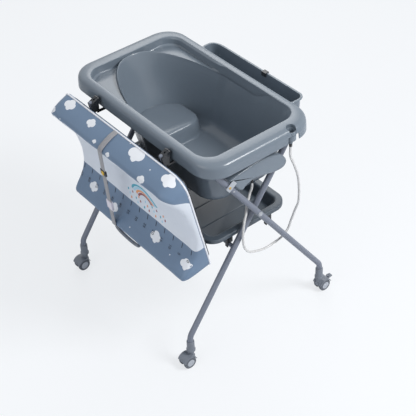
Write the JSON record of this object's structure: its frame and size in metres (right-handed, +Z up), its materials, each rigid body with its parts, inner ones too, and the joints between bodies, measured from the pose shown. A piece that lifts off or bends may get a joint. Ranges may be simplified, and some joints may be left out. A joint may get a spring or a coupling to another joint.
{
  "type": "changing table with bathtub",
  "caption": "Baby bathtub with an inner seat on a folding X-frame with castors, storage tray, toiletries trough, drain hose and a padded changing mat hung at the side.",
  "frame": {"origin": "on the floor under the middle of the part's box", "axes": "+X along the tub towards its drain end, +Y across from the hanging mat to the toiletries trough, +Z up, the longest way"},
  "size_m": [0.824, 0.7467, 0.89],
  "materials": {
    "tub_plastic": "moulded slate-grey plastic with a soft gloss",
    "tray_plastic": "dark slate-grey moulded plastic",
    "tube_paint": "grey powder-coated steel tube",
    "steel": "zinc-plated steel",
    "black_plastic": "black moulded plastic",
    "castor_plastic": "mid-grey nylon",
    "hose_vinyl": "clear whitish vinyl hose",
    "mat_cover": "smooth coated cloth in dusty blue",
    "webbing": "grey woven strap",
    "pale_plastic": "pale lilac-white moulded plastic"
  },
  "bodies": {
    "outer_frame": {"outer_frame_tube": "tube_paint", "outer_cross_bar": "tube_paint", "pivot_bolt_near": "steel", "pivot_bolt_far": "steel", "side_cover_near": "tub_plastic", "side_cover_far": "tub_plastic", "cover_tab_near": "steel", "cover_tab_far": "steel", "cover_rivet_near": "steel", "cover_rivet_far": "steel", "storage_tray": "tray_plastic", "tray_clip_rear_near": "black_plastic", "tray_clip_rear_far": "black_plastic", "tray_clip_front_near": "black_plastic", "tray_clip_front_far": "black_plastic", "mat_bracket_near": "tube_paint", "mat_bracket_far": "tube_paint", "castor_socket_rear_near": "castor_plastic", "castor_socket_rear_far": "castor_plastic", "drain_hose": "hose_vinyl"},
    "inner_frame": {"inner_leg_near": "tube_paint", "inner_leg_far": "tube_paint", "inner_leg_cap_near": "black_plastic", "inner_leg_cap_far": "black_plastic", "inner_cross_bar": "tube_paint", "castor_socket_front_near": "castor_plastic", "castor_socket_front_far": "castor_plastic"},
    "tub": {"tub_shell": "tub_plastic", "drain_elbow": "black_plastic", "hose_holder": "tub_plastic", "hose_connector": "black_plastic", "toiletries_trough": "tub_plastic", "trough_clip": "black_plastic"},
    "plug": {"drain_plug": "black_plastic"},
    "mat_arms": {"mat_arm_near": "black_plastic", "mat_arm_far": "black_plastic"},
    "mat": {"mat_rail_near": "steel", "mat_rail_far": "steel", "mat_board": "black_plastic", "mat_cushion": "mat_cover", "mat_strap": "webbing", "strap_slider": "black_plastic", "strap_buckle": "pale_plastic", "grab_handle": "castor_plastic"},
    "hood_rear_near": {"castor_hood_rear_near": "castor_plastic"},
    "hood_rear_far": {"castor_hood_rear_far": "castor_plastic"},
    "hood_front_near": {"castor_hood_front_near": "castor_plastic"},
    "hood_front_far": {"castor_hood_front_far": "castor_plastic"},
    "wheels_rear_near": {"castor_wheels_rear_near": "castor_plastic"},
    "wheels_rear_far": {"castor_wheels_rear_far": "castor_plastic"},
    "wheels_front_near": {"castor_wheels_front_near": "castor_plastic"},
    "wheels_front_far": {"castor_wheels_front_far": "castor_plastic"},
    "pedal_near": {"brake_pedal_near": "castor_plastic"},
    "pedal_far": {"brake_pedal_far": "castor_plastic"}
  },
  "joints": [
    {"name": "frame_fold", "type": "hinge", "parent": "outer_frame", "child": "inner_frame", "pos_m": [0, 0, 0.572], "axis": [1, 0, 0], "range_deg": [0, 28]},
    {"name": "tub_tilt", "type": "hinge", "parent": "outer_frame", "child": "tub", "pos_m": [0, -0.212, 0.8715], "axis": [1, 0, 0], "range_deg": [0, 14]},
    {"name": "plug_pull", "type": "slide", "parent": "tub", "child": "plug", "axis": [0, 0, 1], "range_m": [0, 0.03]},
    {"name": "mat_tilt", "type": "hinge", "parent": "outer_frame", "child": "mat_arms", "pos_m": [0, -0.25, 0.872], "axis": [1, 0, 0], "range_deg": [-102.3, 0]},
    {"name": "mat_slide", "type": "slide", "parent": "mat_arms", "child": "mat", "axis": [0, -0.213, 0.977], "range_m": [0, 0.44]},
    {"name": "castor_swivel_rear_near", "type": "hinge", "parent": "outer_frame", "child": "hood_rear_near", "pos_m": [0.374, 0.30791, 0.05], "axis": [0, 0, 1], "continuous": true},
    {"name": "castor_swivel_rear_far", "type": "hinge", "parent": "outer_frame", "child": "hood_rear_far", "pos_m": [-0.374, 0.30791, 0.05], "axis": [0, 0, 1], "continuous": true},
    {"name": "castor_swivel_front_near", "type": "hinge", "parent": "inner_frame", "child": "hood_front_near", "pos_m": [0.347, -0.30791, 0.05], "axis": [0, 0, 1], "continuous": true},
    {"name": "castor_swivel_front_far", "type": "hinge", "parent": "inner_frame", "child": "hood_front_far", "pos_m": [-0.347, -0.30791, 0.05], "axis": [0, 0, 1], "continuous": true},
    {"name": "wheel_spin_rear_near", "type": "hinge", "parent": "hood_rear_near", "child": "wheels_rear_near", "pos_m": [0.374, 0.32591, 0.025], "axis": [1, 0, 0], "continuous": true},
    {"name": "wheel_spin_rear_far", "type": "hinge", "parent": "hood_rear_far", "child": "wheels_rear_far", "pos_m": [-0.374, 0.32591, 0.025], "axis": [1, 0, 0], "continuous": true},
    {"name": "wheel_spin_front_near", "type": "hinge", "parent": "hood_front_near", "child": "wheels_front_near", "pos_m": [0.347, -0.32591, 0.025], "axis": [1, 0, 0], "continuous": true},
    {"name": "wheel_spin_front_far", "type": "hinge", "parent": "hood_front_far", "child": "wheels_front_far", "pos_m": [-0.347, -0.32591, 0.025], "axis": [1, 0, 0], "continuous": true},
    {"name": "brake_near", "type": "hinge", "parent": "hood_rear_near", "child": "pedal_near", "pos_m": [0.374, 0.35791, 0.04061], "axis": [1, 0, 0], "range_deg": [0, 20]},
    {"name": "brake_far", "type": "hinge", "parent": "hood_rear_far", "child": "pedal_far", "pos_m": [-0.374, 0.35791, 0.04061], "axis": [1, 0, 0], "range_deg": [0, 20]}
  ],
  "couplings": [
    {"joint": "tub_tilt", "follows": "frame_fold", "ratio": 0.5}
  ]
}
